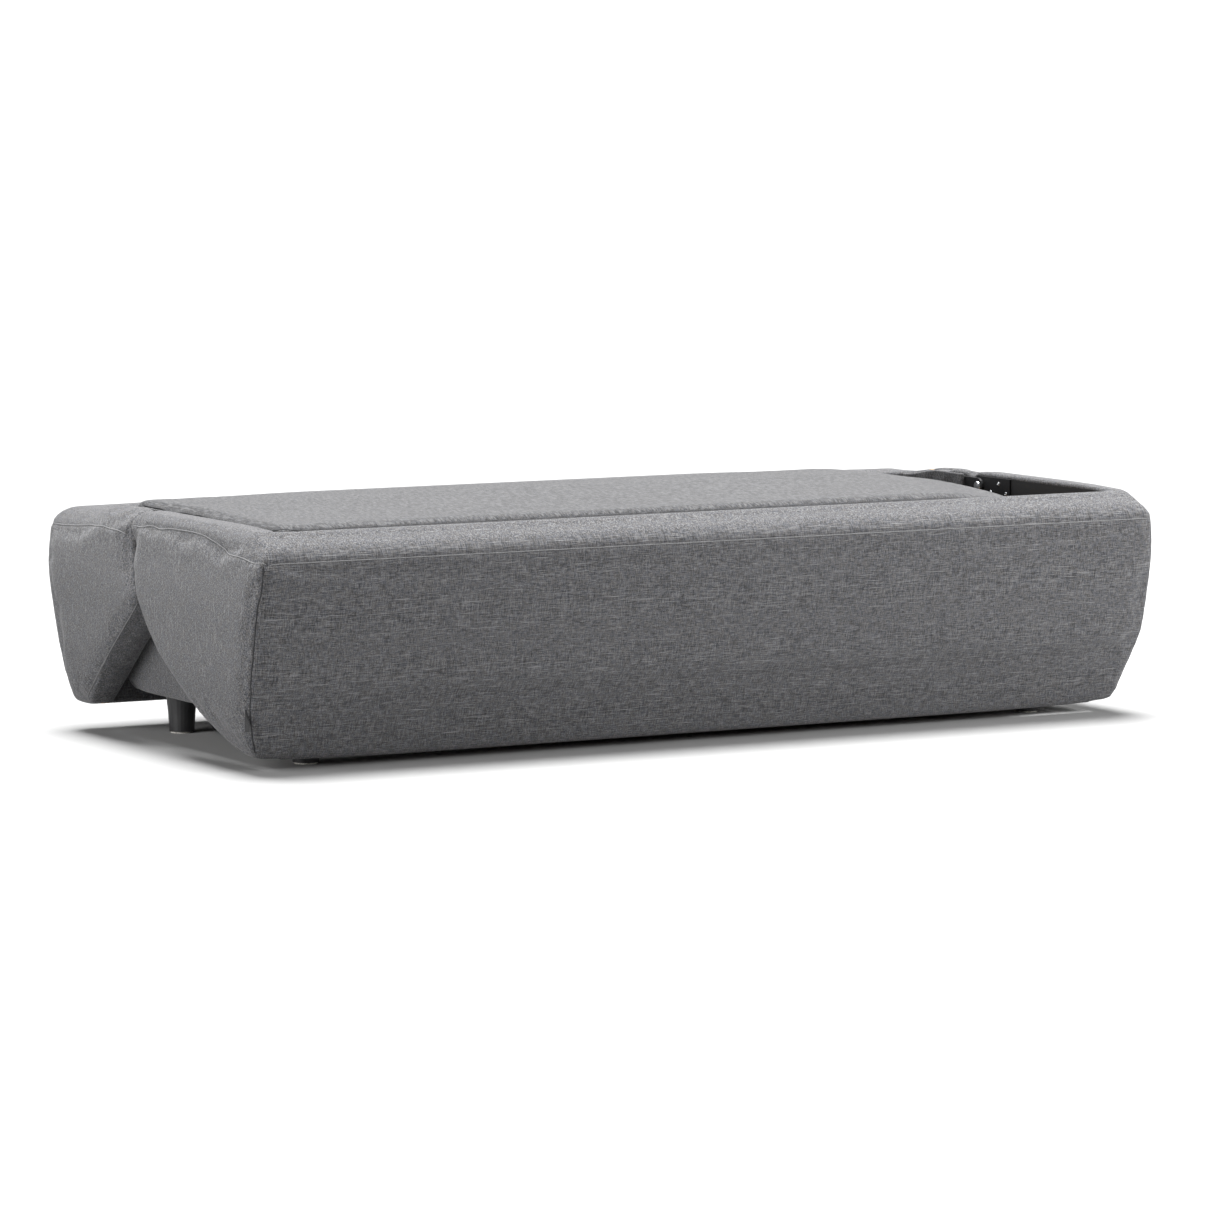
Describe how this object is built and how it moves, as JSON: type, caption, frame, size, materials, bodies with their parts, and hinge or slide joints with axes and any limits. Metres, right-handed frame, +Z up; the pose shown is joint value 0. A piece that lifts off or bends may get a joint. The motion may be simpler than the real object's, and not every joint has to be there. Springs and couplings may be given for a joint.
{
  "type": "futon sofa bed",
  "caption": "Single futon sofa bed unfolded flat: a mattress between two U-shaped upholstered shells, one of which turns half a turn on end links to become the back and arms of the sofa.",
  "frame": {"origin": "on the floor, under the centre of the bounding box of the unfolded bed", "axes": "+X along the bed, to the right seen from the fixed shell; +Y across it, from the fixed shell to the revolving shell, which is the sofa's seating side; +Z up"},
  "size_m": [2.06, 1, 0.475],
  "materials": {
    "shell_fabric": "matte",
    "mattress_fabric": "matte",
    "foam": "matte",
    "black_cloth": "matte",
    "felt": "matte",
    "label_tape": "matte",
    "timber": "matte",
    "beech": "satin",
    "black_board": "matte",
    "black_steel": "satin",
    "zinc": "satin",
    "black_plastic": "satin"
  },
  "bodies": {
    "base": {"mattress_comfort_layer": "mattress_fabric", "mattress_core": "foam", "slat_roll": "beech", "base_rail_hidden_side": "timber", "base_rail_seat_side": "timber", "base_rail_left": "timber", "base_rail_right": "timber", "base_cross_rail": "timber", "base_seat_pad": "shell_fabric", "base_pad_left": "shell_fabric", "base_pad_right": "shell_fabric", "dust_cover": "black_cloth", "foot_batten_left": "timber", "foot_batten_right": "timber", "foot_hidden_left": "black_plastic", "foot_plate_hidden_left": "zinc", "foot_glide_hidden_left": "felt", "foot_hidden_right": "black_plastic", "foot_plate_hidden_right": "zinc", "foot_glide_hidden_right": "felt", "foot_seat_left": "black_plastic", "foot_plate_seat_left": "zinc", "foot_glide_seat_left": "felt", "foot_seat_right": "black_plastic", "foot_plate_seat_right": "zinc", "foot_glide_seat_right": "felt", "fixed_panel_board": "black_board", "fixed_panel_pad": "shell_fabric", "panel_batten": "timber", "sewn_label": "label_tape", "fixed_arm_board_left": "black_board", "fixed_arm_pad_left": "shell_fabric", "fixed_hinge_plate_left": "black_steel", "fixed_pivot_pin_left": "zinc", "side_bar_left": "black_steel", "shell_bracket_left_1": "black_steel", "shell_bracket_left_2": "black_steel", "fixed_arm_board_right": "black_board", "fixed_arm_pad_right": "shell_fabric", "fixed_hinge_plate_right": "black_steel", "fixed_pivot_pin_right": "zinc", "side_bar_right": "black_steel", "shell_bracket_right_1": "black_steel", "shell_bracket_right_2": "black_steel"},
    "links": {"hinge_link_left": "black_steel", "hinge_link_right": "black_steel"},
    "revolving_shell": {"revolving_panel_pad": "shell_fabric", "revolving_panel_board": "timber", "revolving_panel_lining": "shell_fabric", "revolving_arm_pad_left": "shell_fabric", "revolving_arm_board_left": "timber", "revolving_arm_lining_left": "shell_fabric", "moving_hinge_plate_left": "black_steel", "moving_pivot_pin_left": "zinc", "revolving_arm_pad_right": "shell_fabric", "revolving_arm_board_right": "timber", "revolving_arm_lining_right": "shell_fabric", "moving_hinge_plate_right": "black_steel", "moving_pivot_pin_right": "zinc"}
  },
  "joints": [
    {"name": "link_fold", "type": "hinge", "parent": "base", "child": "links", "pos_m": [0, 0.062, 0.445], "axis": [1, 0, 0], "range_deg": [0, 90]},
    {"name": "shell_fold", "type": "hinge", "parent": "links", "child": "revolving_shell", "pos_m": [0, 0.138, 0.445], "axis": [1, 0, 0], "range_deg": [0, 90]}
  ],
  "couplings": [
    {"joint": "link_fold", "follows": "shell_fold", "ratio": 1}
  ]
}
